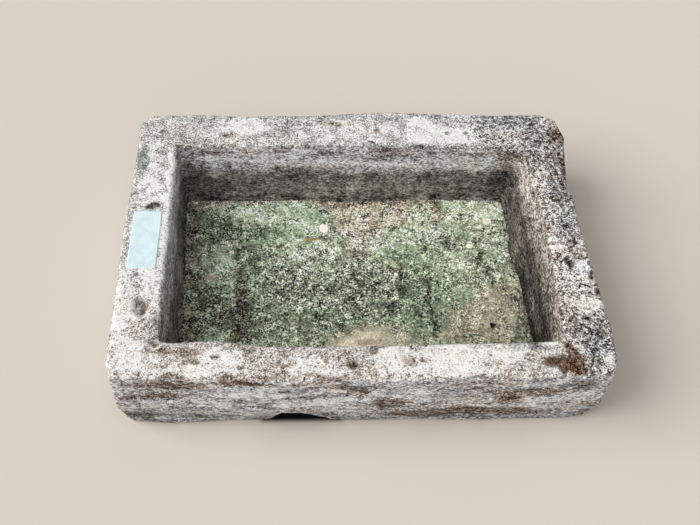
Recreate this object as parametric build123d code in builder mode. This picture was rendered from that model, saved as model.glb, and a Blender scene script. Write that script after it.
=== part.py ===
from build123d import *
import os

os.makedirs("parts", exist_ok=True)

# Stone trough planter: one block of stone, hollowed by hand, standing on its base at z = 0.
# The origin is the middle of the base. X runs along the trough, Y towards its back, Z up.

# Block
trough_length = 713.0    # over the outermost bulges of the two ends
trough_width = 517.0     # over the outermost bulges of the front and the back
trough_height = 148.0
belly_height = 62.0      # level at which the sides start to draw in towards the base
arris_drop = 6.0         # the worn outer edge of the rim: how far down the side it starts
arris_reach = 5.0        # and how far onto the rim it reaches
arris_crown = 2.0        # the last rise of that rounding, which is nearly flat
arris_crown_reach = 2.0
foot_rise = 5.0          # the worn edge of the base
foot_reach = 4.0

# Hollow
rim_left = 67.0
rim_right = 66.0
rim_front = 56.0
rim_back = 79.0
floor_thickness = 42.5
cove_rise = 6.0          # the rounded foot of the inner walls
cove_reach = 3.0
lip_drop = 7.0           # the worn inner edge of the rim
lip_reach = 3.5

# Drain hole
drain_radius = 4.5
drain_from_right = 148.0
drain_from_front = 155.0

# Break in the lower front edge
notch_length = 124.0
notch_rise = 58.0
notch_depth = 62.0
notch_from_left = 208.0
notch_back_share = 0.45  # its size at the inner end, as a share of the size at the face

# Oval pit in the left rim, and a crescent chip farther back on it
pit_length = 38.0
pit_width = 26.0
pit_depth = 8.0
pit_floor_share = 0.55
pit_from_left = 42.5
pit_from_front = 125.0
crescent_length = 21.0
crescent_width = 12.0
crescent_depth = 5.0
crescent_from_left = 42.0
crescent_from_front = 306.0

# Nick in the inner front left corner of the rim
nick_radius = 10.0
nick_lift = 4.0          # height of the ball's centre over the rim
nick_from_left = 64.0
nick_from_front = 58.0

# Paper tape label
label_width = 43.0
label_length = 108.0
label_thickness = 0.4
label_from_left = 35.0   # to its middle
label_from_front = 245.0
label_turn = -0.5

# Dried silt on the floor
silt_thickness = 2.0
silt_wall_clearance = 0.5
silt_drain_clearance = 3.0

# Sand drift against the front wall
drift_length = 121.0
drift_width = 82.0
drift_height = 4.5
drift_mid_height = 2.8
drift_mid_share = 0.72
drift_top_share = 0.30

# Lime flakes, leaf fragments and grit lying on the silt
flake_size = 24.0
flake_thickness = 1.2
leaf_length = 22.0
leaf_width = 10.5
leaf_thickness = 0.6
grit_size = 4.6
grit_height = 2.6
grit_top_share = 0.55
grit_sides = 5

overrun = 10.0

half_length = trough_length / 2
half_width = trough_width / 2
opening_half_length = (trough_length - rim_left - rim_right) / 2
opening_half_width = (trough_width - rim_front - rim_back) / 2
opening_x = (rim_left - rim_right) / 2
opening_y = (rim_front - rim_back) / 2
silt_top = floor_thickness + silt_thickness

# Plan of the block at the rim, anticlockwise from its front left corner,
# as shares of the half length and the half width
rim_plan_share = [
    (-0.998, -0.850), (-0.978, -0.965), (-0.801, -0.968), (-0.554, -0.985), (-0.285, -1.000),
    (-0.091, -0.981), (0.248, -1.000), (0.425, -0.965), (0.585, -0.985), (0.850, -0.975),
    (0.968, -0.965), (0.995, -0.885), (1.000, -0.691), (0.984, -0.377), (0.965, 0.000),
    (0.958, 0.145), (0.965, 0.275), (0.938, 0.331), (0.957, 0.598), (0.976, 0.783),
    (0.948, 0.935), (0.885, 0.982), (0.666, 0.974), (0.285, 0.994), (0.192, 1.000),
    (-0.018, 0.988), (-0.170, 0.968), (-0.532, 0.954), (-0.719, 0.968), (-0.938, 0.958),
    (-0.990, 0.885), (-0.986, 0.636), (-0.994, 0.284), (-1.000, -0.072), (-0.997, -0.416),
    (-0.997, -0.729),
]

# Plan of the base, point for point under the rim's
base_plan_share = [
    (-0.975, -0.860), (-0.945, -0.935), (-0.785, -0.952), (-0.543, -0.939), (-0.285, -0.930),
    (-0.091, -0.945), (0.248, -0.940), (0.425, -0.950), (0.585, -0.946), (0.850, -0.941),
    (0.935, -0.925), (0.975, -0.865), (0.985, -0.667), (0.970, -0.377), (0.953, 0.000),
    (0.945, 0.145), (0.947, 0.275), (0.930, 0.331), (0.942, 0.598), (0.957, 0.783),
    (0.928, 0.915), (0.870, 0.958), (0.658, 0.952), (0.285, 0.968), (0.192, 0.968),
    (-0.018, 0.962), (-0.170, 0.944), (-0.532, 0.936), (-0.711, 0.945), (-0.920, 0.930),
    (-0.969, 0.852), (-0.972, 0.629), (-0.980, 0.284), (-0.985, -0.072), (-0.983, -0.416),
    (-0.983, -0.706),
]

# Plan of the opening, as shares of its half length and half width about its middle
opening_plan_share = [
    (-0.997, -0.906), (-0.986, -0.948), (-0.952, -0.958), (-0.710, -0.948), (-0.490, -1.000),
    (-0.048, -1.000), (0.321, -0.984), (0.745, -0.979), (0.945, -0.963), (0.976, -0.948),
    (0.990, -0.895), (0.986, -0.712), (0.997, -0.492), (1.000, -0.047), (0.993, 0.257),
    (0.966, 0.639), (0.972, 0.885), (0.962, 0.927), (0.928, 0.942), (0.686, 0.969),
    (0.362, 0.984), (-0.093, 1.000), (-0.286, 0.979), (-0.648, 0.979), (-0.959, 0.969),
    (-0.986, 0.953), (-0.997, 0.906), (-1.000, 0.445), (-0.997, -0.037), (-1.000, -0.503),
]

# Plan of the floor, point for point under the opening's
floor_plan_share = [
    (-0.955, -0.791), (-0.938, -0.869), (-0.883, -0.901), (-0.710, -0.906), (-0.490, -0.911),
    (-0.048, -0.916), (0.321, -0.911), (0.745, -0.906), (0.876, -0.895), (0.924, -0.859),
    (0.941, -0.780), (0.938, -0.639), (0.928, -0.424), (0.914, -0.016), (0.879, 0.236),
    (0.886, 0.534), (0.886, 0.791), (0.869, 0.864), (0.821, 0.885), (0.669, 0.880),
    (0.272, 0.859), (-0.055, 0.843), (-0.286, 0.874), (-0.666, 0.859), (-0.924, 0.874),
    (-0.969, 0.853), (-0.983, 0.791), (-0.976, 0.445), (-0.955, -0.037), (-0.959, -0.503),
]

# The notch's arch over its length and rise, from its left foot
notch_arch_share = [
    (0.00, 0.00), (0.10, 0.44), (0.22, 0.94), (0.29, 1.00), (0.48, 0.88), (0.63, 0.64),
    (0.82, 0.38), (1.00, 0.00),
]

# The drift's middle in the opening's shares, and its foot over its half length and half width
drift_place_share = (0.002, -0.675)
drift_plan_share = [
    (-0.96, -0.62), (-1.00, -0.01), (-0.73, 0.28), (-0.56, 0.45), (-0.10, 0.61), (0.26, 0.86),
    (0.54, 0.95), (0.79, 0.77), (0.92, 0.45), (1.00, 0.06), (0.97, -0.60), (0.66, -0.92),
    (-0.35, -0.98), (-0.77, -0.88),
]

# One flake's outline over its half size, and each flake's place in the opening's shares
# with its size, its width beside its length and its turn in degrees
flake_outline_share = [
    (-0.90, -0.35), (-0.30, -0.80), (0.45, -0.70), (0.85, -0.10), (0.60, 0.65),
    (-0.10, 0.90), (-0.75, 0.45),
]
flake_place_share = [
    (-0.178, 0.520, 1.00, 0.90, 50), (-0.800, 0.003, 1.15, 0.85, 15), (-0.910, -0.352, 1.35, 0.45, 80),
    (0.766, 0.597, 0.85, 0.95, 30), (0.642, 0.322, 0.65, 0.75, 160), (0.704, 0.464, 0.38, 0.80, 60),
    (0.216, 0.028, 0.36, 0.85, 20), (0.496, -0.227, 0.30, 0.90, 100), (-0.694, 0.262, 0.42, 0.80, 140),
]

# One leaf fragment's outline over its length and width, and where the fragments lie
leaf_outline_share = [
    (-0.50, -0.10), (-0.15, -0.50), (0.30, -0.42), (0.50, 0.12), (0.05, 0.50), (-0.35, 0.38),
]
leaf_place_share = [(-0.247, 0.393, 1.00, 12), (-0.427, 0.318, 0.72, -35)]

# Grit: place in the opening's shares, size share and turn
grit_place_share = [
    (-0.72, 0.62, 1.00, 10), (-0.61, 0.55, 0.80, 50), (-0.50, 0.66, 0.90, 80),
    (-0.66, 0.40, 0.70, 25), (-0.34, 0.60, 0.85, 65), (0.05, 0.62, 1.00, 30),
    (0.22, 0.52, 0.75, 5), (0.30, 0.66, 0.90, 45), (0.47, 0.70, 1.10, 70),
    (0.55, 0.40, 0.80, 15), (-0.12, 0.15, 0.90, 35), (0.08, -0.02, 0.75, 60),
    (-0.30, -0.12, 0.85, 20), (0.34, -0.20, 0.95, 75), (0.62, -0.08, 0.80, 40),
    (-0.58, -0.30, 0.75, 55), (-0.46, -0.50, 1.00, 85), (0.52, -0.62, 0.85, 28),
]


def plan(level, middle, reach, shares, turn=0):
    """A flat face at one level, from shares of its reach about its middle."""
    with BuildSketch(Plane((*middle, level)).rotated((0, 0, turn))) as face:
        with BuildLine():
            Polyline(*[(x * reach[0], y * reach[1]) for x, y in shares], close=True)
        make_face()
    return face.sketch


def block_plan(level, shares, inset=0.0):
    return plan(level, (0, 0), (half_length - inset, half_width - inset), shares)


def hollow_plan(level, shares, inset=0.0):
    reach = (opening_half_length - inset, opening_half_width - inset)
    return plan(level, (opening_x, opening_y), reach, shares)


def on_floor(x_share, y_share):
    """A place inside the hollow, from shares of the opening."""
    return (opening_x + x_share * opening_half_length, opening_y + y_share * opening_half_width)


# The block: base, belly, rim and worn edges are one loft; the hollow is a second one cut out of it
rim_start = trough_height - arris_drop
notch_x = notch_from_left - half_length
notch_face_y = half_width + overrun
notch_mid_x = notch_x + notch_length / 2

with BuildPart() as trough:
    loft(
        [
            block_plan(0, base_plan_share, foot_reach),
            block_plan(foot_rise, base_plan_share),
            block_plan(belly_height, rim_plan_share),
            block_plan(rim_start, rim_plan_share),
            block_plan(trough_height - arris_crown, rim_plan_share, arris_crown_reach),
            block_plan(trough_height, rim_plan_share, arris_reach),
        ],
        ruled=True,
    )
    loft(
        [
            hollow_plan(floor_thickness, floor_plan_share, cove_reach),
            hollow_plan(floor_thickness + cove_rise, floor_plan_share),
            hollow_plan(trough_height - lip_drop, opening_plan_share, lip_reach),
            hollow_plan(trough_height, opening_plan_share),
            hollow_plan(trough_height + overrun, opening_plan_share),
        ],
        ruled=True,
        mode=Mode.SUBTRACT,
    )
    # Drain hole, straight down through the floor
    with BuildSketch(Plane.XY):
        with Locations((half_length - drain_from_right, drain_from_front - half_width)):
            Circle(drain_radius)
    extrude(amount=floor_thickness, mode=Mode.SUBTRACT)
    # Break in the lower front edge, narrowing as it goes in
    with BuildSketch(Plane.XZ.offset(notch_face_y)):
        with BuildLine():
            outer_arch = [(notch_x + x * notch_length, y * notch_rise) for x, y in notch_arch_share]
            Polyline(*outer_arch, close=True)
        make_face()
    with BuildSketch(Plane.XZ.offset(notch_face_y - overrun - notch_depth)):
        with BuildLine():
            inner_arch = [
                (notch_mid_x + (x - 0.5) * notch_length * notch_back_share, y * notch_rise * notch_back_share)
                for x, y in notch_arch_share
            ]
            Polyline(*inner_arch, close=True)
        make_face()
    loft(ruled=True, mode=Mode.SUBTRACT)
    # Oval pit and crescent chip in the left rim
    for length, width, depth, from_left, from_front in (
        (pit_width, pit_length, pit_depth, pit_from_left, pit_from_front),
        (crescent_length, crescent_width, crescent_depth, crescent_from_left, crescent_from_front),
    ):
        centre = (from_left - half_length, from_front - half_width)
        with BuildSketch(Plane.XY.offset(trough_height)):
            with Locations(centre):
                Ellipse(length / 2, width / 2)
        with BuildSketch(Plane.XY.offset(trough_height - depth)):
            with Locations(centre):
                Ellipse(length / 2 * pit_floor_share, width / 2 * pit_floor_share)
        loft(mode=Mode.SUBTRACT)
    # Nick in the inner front left corner
    with Locations((nick_from_left - half_length, nick_from_front - half_width, trough_height + nick_lift)):
        Sphere(nick_radius, mode=Mode.SUBTRACT)
trough.part.label = "stone_trough"
export_step(trough.part, "parts/stone_trough.step")

# Paper tape label, bare, stuck flat on the left rim
with BuildPart() as label:
    with BuildSketch(Plane.XY.offset(trough_height)):
        with Locations((label_from_left - half_length, label_from_front - half_width)):
            Rectangle(label_width, label_length, rotation=label_turn)
    extrude(amount=label_thickness)
label.part.label = "stock_label"
export_step(label.part, "parts/stock_label.step")

# Dried silt with its skin of algae, open round the drain
with BuildPart() as silt:
    add(hollow_plan(floor_thickness, floor_plan_share, cove_reach + silt_wall_clearance))
    extrude(amount=silt_thickness)
    with BuildSketch(Plane.XY.offset(floor_thickness)):
        with Locations((half_length - drain_from_right, drain_from_front - half_width)):
            Circle(drain_radius + silt_drain_clearance)
    extrude(amount=silt_thickness, mode=Mode.SUBTRACT)
silt.part.label = "silt_bed"
export_step(silt.part, "parts/silt_bed.step")

# Sand drift: a low mound of three stacked plans
with BuildPart() as drift:
    loft(
        [
            plan(
                silt_top + rise,
                on_floor(*drift_place_share),
                (drift_length / 2 * share, drift_width / 2 * share),
                drift_plan_share,
            )
            for rise, share in ((0, 1), (drift_mid_height, drift_mid_share), (drift_height, drift_top_share))
        ],
        ruled=True,
    )
drift.part.label = "sand_drift"
export_step(drift.part, "parts/sand_drift.step")

# Lime flakes, flat on the silt
with BuildPart() as flakes:
    for x, y, size, width, turn in flake_place_share:
        flake_reach = flake_size * size / 2
        add(plan(silt_top, on_floor(x, y), (flake_reach, flake_reach * width), flake_outline_share, turn))
        extrude(amount=flake_thickness)
flakes.part.label = "lime_flakes"
export_step(flakes.part, "parts/lime_flakes.step")

# Leaf fragments
with BuildPart() as leaves:
    for x, y, size, turn in leaf_place_share:
        leaf_reach = (leaf_length * size, leaf_width * size)
        add(plan(silt_top, on_floor(x, y), leaf_reach, leaf_outline_share, turn))
        extrude(amount=leaf_thickness)
leaves.part.label = "leaf_fragments"
export_step(leaves.part, "parts/leaf_fragments.step")

# Loose grit: small angular grains, narrower at the top
with BuildPart() as grit:
    for x, y, size, turn in grit_place_share:
        for rise, share in ((0, 1), (grit_height * size, grit_top_share)):
            with BuildSketch(Plane.XY.offset(silt_top + rise)):
                with Locations(on_floor(x, y)):
                    RegularPolygon(grit_size / 2 * size * share, grit_sides, rotation=turn)
        loft(ruled=True)
grit.part.label = "loose_grit"
export_step(grit.part, "parts/loose_grit.step")
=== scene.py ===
import math

import bmesh
import bpy
import numpy as np
from mathutils import Matrix, Vector, noise
from mathutils.bvhtree import BVHTree


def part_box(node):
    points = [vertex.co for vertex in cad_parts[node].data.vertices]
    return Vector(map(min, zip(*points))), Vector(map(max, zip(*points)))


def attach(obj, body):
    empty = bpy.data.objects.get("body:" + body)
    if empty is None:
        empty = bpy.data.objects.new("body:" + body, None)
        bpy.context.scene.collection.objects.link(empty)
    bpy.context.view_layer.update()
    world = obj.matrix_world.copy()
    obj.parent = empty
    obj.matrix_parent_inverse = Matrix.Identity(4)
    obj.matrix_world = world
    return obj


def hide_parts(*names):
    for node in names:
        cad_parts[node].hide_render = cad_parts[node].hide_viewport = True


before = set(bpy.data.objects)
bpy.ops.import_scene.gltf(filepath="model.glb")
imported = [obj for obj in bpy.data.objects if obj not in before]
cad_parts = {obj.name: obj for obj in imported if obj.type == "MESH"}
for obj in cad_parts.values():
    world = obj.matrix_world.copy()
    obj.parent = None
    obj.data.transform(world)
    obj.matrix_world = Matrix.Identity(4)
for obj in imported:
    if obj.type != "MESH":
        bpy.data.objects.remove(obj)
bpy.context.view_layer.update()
noise.seed_set(4)   # otherwise seeded by the clock, which moved painted patches from run to run
mm = 0.001


# Small helpers

def addObject(name, mesh):
    made = bpy.data.objects.new(name, mesh)
    bpy.context.collection.objects.link(made)
    return made


def dropObject(piece):
    mesh = piece.data
    bpy.data.objects.remove(piece)
    if mesh.users == 0:
        bpy.data.meshes.remove(mesh)


def bakeModifiers(piece):   # leaves the evaluated shape as a plain mesh
    graph = bpy.context.evaluated_depsgraph_get()
    baked = bpy.data.meshes.new_from_object(piece.evaluated_get(graph))
    old = piece.data
    piece.modifiers.clear()
    piece.data = baked
    bpy.data.meshes.remove(old)


def copyNode(node, name):   # a merged copy of a CAD node's mesh, for reshaping
    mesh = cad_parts[node].data.copy()
    work = bmesh.new()
    work.from_mesh(mesh)
    bmesh.ops.remove_doubles(work, verts=work.verts, dist=0.01 * mm)
    work.to_mesh(mesh)
    work.free()
    mesh.materials.clear()
    return addObject(name, mesh)


def readPoints(mesh):
    flat = np.empty(len(mesh.vertices) * 3, dtype=np.float64)
    mesh.vertices.foreach_get("co", flat)
    return flat.reshape(-1, 3)


def readNormals(mesh):
    flat = np.empty(len(mesh.vertices) * 3, dtype=np.float32)
    mesh.vertex_normals.foreach_get("vector", flat)
    return flat.reshape(-1, 3).astype(np.float64)


def writePoints(mesh, points):
    mesh.vertices.foreach_set("co", np.ascontiguousarray(points, dtype=np.float32).ravel())
    mesh.update()


def storeMask(mesh, name, values):
    made = mesh.attributes.new(name, "FLOAT", "POINT")
    made.data.foreach_set("value", np.clip(values, 0, 1).astype(np.float32))


def castTree(mesh):   # the mesh in the form that rays are cast at
    return BVHTree.FromPolygons([v.co for v in mesh.vertices], [p.vertices[:] for p in mesh.polygons])


def grid(x, y, z=0.0):   # points from arrays of one shape
    return np.column_stack([np.broadcast_to(part, x.shape).ravel() for part in (x, y, z)])


def findIslands(node):   # middle and half size of each separate solid in a CAD node
    piece = copyNode(node, "islands")
    work = bmesh.new()
    work.from_mesh(piece.data)
    found, left = [], set(work.verts)
    while left:
        island, edge = set(), [next(v for v in work.verts if v in left)]
        while edge:
            vert = edge.pop()
            if vert not in island:
                island.add(vert)
                edge.extend(e.other_vert(vert) for e in vert.link_edges)
        left -= island
        spots = np.array([tuple(v.co) for v in island]) / mm
        low, high = spots.min(axis=0), spots.max(axis=0)
        found.append(((low + high) / 2, (high - low) / 2))
    work.free()
    dropObject(piece)
    return sorted(found, key=lambda item: (round(item[0][0], 3), round(item[0][1], 3)))


def closeSheet(name, top, under, faces):   # a closed mesh from a top sheet and its underside
    faces = np.asarray(faces)
    count, sides = len(top), faces.shape[1]
    edges = np.concatenate([faces[:, [k, (k + 1) % sides]] for k in range(sides)])
    key = edges.min(axis=1) * count + edges.max(axis=1)
    _, back, uses = np.unique(key, return_inverse=True, return_counts=True)
    rim = edges[uses[back] == 1]
    walls = np.column_stack([rim[:, 1], rim[:, 0], rim[:, 0] + count, rim[:, 1] + count])
    listed = [tuple(f) for f in faces.tolist()]
    listed += [tuple(f) for f in (faces[:, ::-1] + count).tolist()]
    listed += [tuple(f) for f in walls.tolist()]
    mesh = bpy.data.meshes.new(name)
    mesh.from_pydata((np.concatenate([top, under]) * mm).tolist(), [], listed)
    loose = bmesh.new()
    loose.from_mesh(mesh)
    bmesh.ops.delete(loose, geom=[v for v in loose.verts if not v.link_faces], context="VERTS")
    loose.to_mesh(mesh)
    loose.free()
    mesh.update()
    return addObject(name, mesh)


def gridFaces(columns, rows):   # quads of a grid stored row by row
    i, j = np.meshgrid(np.arange(columns - 1), np.arange(rows - 1))
    first = (j * columns + i).ravel()
    return np.column_stack([first, first + 1, first + columns + 1, first + columns])


def roundFaces(sectors, rings, base=0):   # triangles of rings about a middle point
    faces = []
    for k in range(sectors):
        after = (k + 1) % sectors
        faces.append((base, base + 1 + k, base + 1 + after))
        for ring in range(rings - 1):
            near, far = base + 1 + ring * sectors, base + 1 + (ring + 1) * sectors
            faces.append((near + k, far + k, far + after))
            faces.append((near + k, far + after, near + after))
    return faces


def ripple(points, size, octaves, seed):   # fractal noise at each point, about -1 to 1
    shift = Vector((seed * 31.7, seed * 11.3, seed * -23.9))
    return np.array([noise.fractal(Vector(p) / size + shift, 0.6, 2.1, octaves) for p in points])


def toLinear(level):
    return level / 12.92 if level <= 0.04045 else ((level + 0.055) / 1.055) ** 2.4


def tone(level, tint, light):   # albedo that shows as this display level under that much light
    return tuple(min(0.94, toLinear(level * t) / light) for t in tint)


def dress(piece, material):   # its material and smooth shading
    piece.data.materials.append(material)
    piece.data.polygons.foreach_set("use_smooth", np.ones(len(piece.data.polygons), dtype=bool))
    piece.data.update()


def wander(points, size, reach, seed):   # keeps painted patches from ending in clean ellipses
    shift = Vector((seed * 17.3, seed * -9.1, seed * 5.7))
    moved = [noise.noise_vector(Vector(p) / size + shift) for p in points]
    return np.array([tuple(v) for v in moved]) * reach


def ramp01(values, low, high):
    t = np.clip((values - low) / (high - low), 0, 1)
    return t * t * (3 - 2 * t)


def patchMask(across, along, patches):   # soft ellipses: centre, radii and strength, 1 where it isn't given
    total = np.zeros(len(across))
    for x, y, rx, ry, *strength in patches:
        near = ((across - x) / rx) ** 2 + ((along - y) / ry) ** 2
        total = np.maximum(total, (strength or [1.0])[0] * np.exp(-near ** 1.5))
    return total


# Node trees

class Wire:   # a node's output that can be added, multiplied and compared

    def __init__(self, kit, socket):
        self.kit, self.socket = kit, socket

    def __add__(self, other):
        return self.kit.math("ADD", self, other)

    def __sub__(self, other):
        return self.kit.math("SUBTRACT", self, other)

    def __rsub__(self, other):
        return self.kit.math("SUBTRACT", other, self)

    def __mul__(self, other):
        return self.kit.math("MULTIPLY", self, other)

    def __or__(self, other):   # the greater of the two
        return self.kit.math("MAXIMUM", self, other)


class Tree:   # short names for the nodes that materials and shapes share

    def __init__(self, tree):
        self.tree = tree

    def put(self, value, socket):
        value = getattr(value, "socket", value)
        if isinstance(value, bpy.types.NodeSocket):
            self.tree.links.new(value, socket)
        else:
            socket.default_value = value

    def node(self, kind, given=None, **settings):   # inputs are given by name or place
        made = self.tree.nodes.new(kind)
        for name, value in settings.items():
            setattr(made, name, value)
        for key, value in (given or {}).items():
            self.put(value, made.inputs[key])
        return made

    def wire(self, *asked, **settings):
        return Wire(self, self.node(*asked, **settings).outputs[0])

    def math(self, operation, a, b=0.0):
        return self.wire("ShaderNodeMath", {0: a, 1: b}, operation=operation)

    def step(self, value, low, high):
        return self.wire("ShaderNodeMapRange", {0: value, 1: low, 2: high}, interpolation_type="SMOOTHSTEP")

    def scale(self, vector, factors):
        return self.wire("ShaderNodeVectorMath", {0: vector, 1: factors}, operation="MULTIPLY")

    def shift(self, vector, amount):
        return self.wire("ShaderNodeVectorMath", {0: vector, 1: amount}, operation="ADD")

    def noise(self, vector, size, detail=2.0, roughness=0.5, distortion=0.0):
        given = {"Scale": 1.0 / size, "Detail": detail, "Roughness": roughness, "Distortion": distortion}
        return self.wire("ShaderNodeTexNoise", {"Vector": vector, **given})

    def swell(self, *asked):   # noise about zero
        return self.noise(*asked) - 0.5

    def cells(self, vector, size):   # distance from each cell's middle, and three random numbers of its own
        made = self.node("ShaderNodeTexVoronoi", {"Vector": vector, "Scale": 1.0 / size}, feature="F1")
        return Wire(self, made.outputs["Distance"]), self.parts(made.outputs["Color"])

    def grains(self, vector, size):   # one random number to each cell, about zero
        return self.cells(vector, size)[1][0] - 0.5

    def parts(self, vector):
        return [Wire(self, socket) for socket in self.node("ShaderNodeSeparateXYZ", {0: vector}).outputs]


class Shader(Tree):   # a material's tree, with object coordinates in millimetres

    def __init__(self, name):
        self.material = bpy.data.materials.new(name)
        self.material.use_nodes = True
        super().__init__(self.material.node_tree)
        self.surface = self.tree.nodes["Principled BSDF"]
        self.here = self.scale(self.node("ShaderNodeTexCoord").outputs["Object"], (1000, 1000, 1000))

    def mask(self, name):
        return Wire(self, self.node("ShaderNodeAttribute", attribute_name=name).outputs["Fac"])

    def mix(self, factor, a, b):
        a, b = (value if isinstance(value, Wire) else (*value, 1.0) for value in (a, b))
        return Wire(self, self.node("ShaderNodeMix", {0: factor, 6: a, 7: b}, data_type="RGBA").outputs[2])

    def ramp(self, value, stops):
        made = self.node("ShaderNodeValToRGB", {0: value})
        band = made.color_ramp
        while len(band.elements) < len(stops):
            band.elements.new(1.0)
        for element, (place, colour) in zip(band.elements, stops):
            element.position = place
            element.color = (*colour, 1.0)
        return Wire(self, made.outputs[0])

    def tones(self, value, dark, light, shine):   # a ramp of even display levels between two tints
        stops = []
        for level in (0.0, 0.12, 0.25, 0.4, 0.55, 0.7, 0.85, 1.0):
            tint = [d + (l - d) * level for d, l in zip(dark, light)]
            stops.append((level, tone(max(level, 0.05), tint, shine)))
        return self.ramp(value, stops)

    def bump(self, height, distance, strength=1.0):
        made = self.wire("ShaderNodeBump", {"Distance": distance * mm, "Strength": strength, "Height": height})
        self.put(made, self.surface.inputs["Normal"])

    def finish(self, colour, roughness, specular):
        given = {"Base Color": colour, "Roughness": roughness, "Specular IOR Level": specular}
        for name, value in given.items():
            self.put(value, self.surface.inputs[name])
        return self.material


def setInputs(piece, tree, values):   # named inputs, set by their identifiers
    modifier = piece.modifiers.new(tree.name, "NODES")
    modifier.node_group = tree
    for item in tree.interface.items_tree:
        if item.item_type == "SOCKET" and item.in_out == "INPUT" and item.name in values:
            modifier[item.identifier] = values[item.name]
    return modifier


def startShape(name, inputs):   # a Geometry Nodes tree with named float inputs
    tree = bpy.data.node_groups.new(name, "GeometryNodeTree")
    tree.interface.new_socket("Geometry", in_out="INPUT", socket_type="NodeSocketGeometry")
    for label in inputs:
        tree.interface.new_socket(label, in_out="INPUT", socket_type="NodeSocketFloat")
    tree.interface.new_socket("Geometry", in_out="OUTPUT", socket_type="NodeSocketGeometry")
    kit = Tree(tree)
    given = kit.node("NodeGroupInput").outputs
    return kit, given, kit.node("NodeGroupOutput")


# Camera: the photograph's view, in the CAD frame

cameraSet = {
    "place": (-78.15, -887.10, 1281.90),
    "pitch": 53.759,   # degrees below the horizon
    "yaw": 4.308,      # to the right of +Y
    "roll": 3.334,
    "lens": 48.857,
    "sensor": 36.0,
}


def makeCamera():
    pitch, yaw, roll = (math.radians(cameraSet[k]) for k in ("pitch", "yaw", "roll"))
    forward = Vector((math.sin(yaw) * math.cos(pitch), math.cos(yaw) * math.cos(pitch), -math.sin(pitch)))
    level = Vector((math.cos(yaw), -math.sin(yaw), 0))
    upward = level.cross(forward)
    right = level * math.cos(roll) + upward * math.sin(roll)
    up = upward * math.cos(roll) - level * math.sin(roll)
    data = bpy.data.cameras.new("photoCamera")
    data.lens = cameraSet["lens"]
    data.sensor_width = cameraSet["sensor"]
    data.clip_start, data.clip_end = 0.05, 50
    camera = addObject("photoCamera", data)
    turn = Matrix((right, up, -forward)).transposed().to_4x4()
    camera.matrix_world = Matrix.Translation(Vector(cameraSet["place"]) * mm) @ turn
    bpy.context.scene.camera = camera


# Stage and light

stageSet = {
    "floorColour": (0.662, 0.607, 0.536),
    "floorReach": 6.0,
    "shade": {"colour": (0.012, 0.011, 0.010), "middle": -88.0, "half": 66.0, "front": -241.0},
    "worldColour": (0.97, 0.985, 1.0),
    "worldStrength": 0.30,
    "lamps": [   # name, strength, where it shines from, spread in degrees, colour
        ("softWindow", 2.45, (-1.0, -0.15, 0.80), 50.0, (1.0, 0.985, 0.96)),
        ("skylight", 1.04, (-0.28, -0.55, 1.0), 74.0, (1.0, 1.0, 1.0)),
    ],
}


def makeStage():
    reach = stageSet["floorReach"]
    mesh = bpy.data.meshes.new("studioFloor")
    corners = [(-reach, -reach, 0), (reach, -reach, 0), (reach, reach, 0), (-reach, reach, 0)]
    mesh.from_pydata(corners, [], [(0, 1, 2, 3)])
    floor = addObject("studioFloor", mesh)
    look = Shader("studioFloor")
    shade = stageSet["shade"]   # painted deep shade on the ground seen through the broken edge
    x, y, _ = look.parts(look.here)
    away = look.math("ABSOLUTE", x - shade["middle"])
    under = look.step(y, shade["front"] - 6, shade["front"] + 4) * look.step(y, 0, -20)
    under = under * look.step(away, shade["half"], shade["half"] - 12)
    mesh.materials.append(look.finish(look.mix(under, stageSet["floorColour"], shade["colour"]), 0.95, 0.0))

    world = bpy.data.worlds.new("studioWorld")
    world.use_nodes = True
    backdrop = world.node_tree.nodes["Background"]
    backdrop.inputs["Color"].default_value = (*stageSet["worldColour"], 1.0)
    backdrop.inputs["Strength"].default_value = stageSet["worldStrength"]
    bpy.context.scene.world = world

    for name, strength, place, spread, colour in stageSet["lamps"]:
        lamp = bpy.data.lights.new(name, "SUN")
        lamp.energy = strength
        lamp.angle = math.radians(spread)
        lamp.color = colour
        sun = addObject(name, lamp)
        sun.rotation_mode = "QUATERNION"
        sun.rotation_quaternion = Vector(place).to_track_quat("Z", "Y")
    bpy.context.scene.view_settings.view_transform = "Standard"


makeCamera()
makeStage()
print("camera and stage ready")


# The carved stone

nodeBox = {name: [Vector(c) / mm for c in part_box(name)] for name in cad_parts}
stoneLow, stoneHigh = nodeBox["stone_trough"]
siltLow, siltHigh = nodeBox["silt_bed"]
drainSpot = (208.5, -103.5)
rimLevel = stoneHigh.z

stoneSet = {
    "voxel": 2.3,
    "thin": 0.015,   # how readily flat stretches of the mesh are merged
    "shape": {   # all in millimetres
        "Undulation": 2.6,     # slow waves left by the mason
        "Roughness": 2.6,      # lumps of a finger's width
        "Bedding": 2.0,        # level ledges on the upright faces
        "Grain": 1.5,
        "Pits": 2.6,           # small weathered holes
        "Arris chips": 5.5,    # spalls along the edges
        "Top bias": 0.7,       # keeps the rim under its greatest height
    },
    "edgeBlur": 8,
    "clearTop": 0.1,
}


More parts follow.
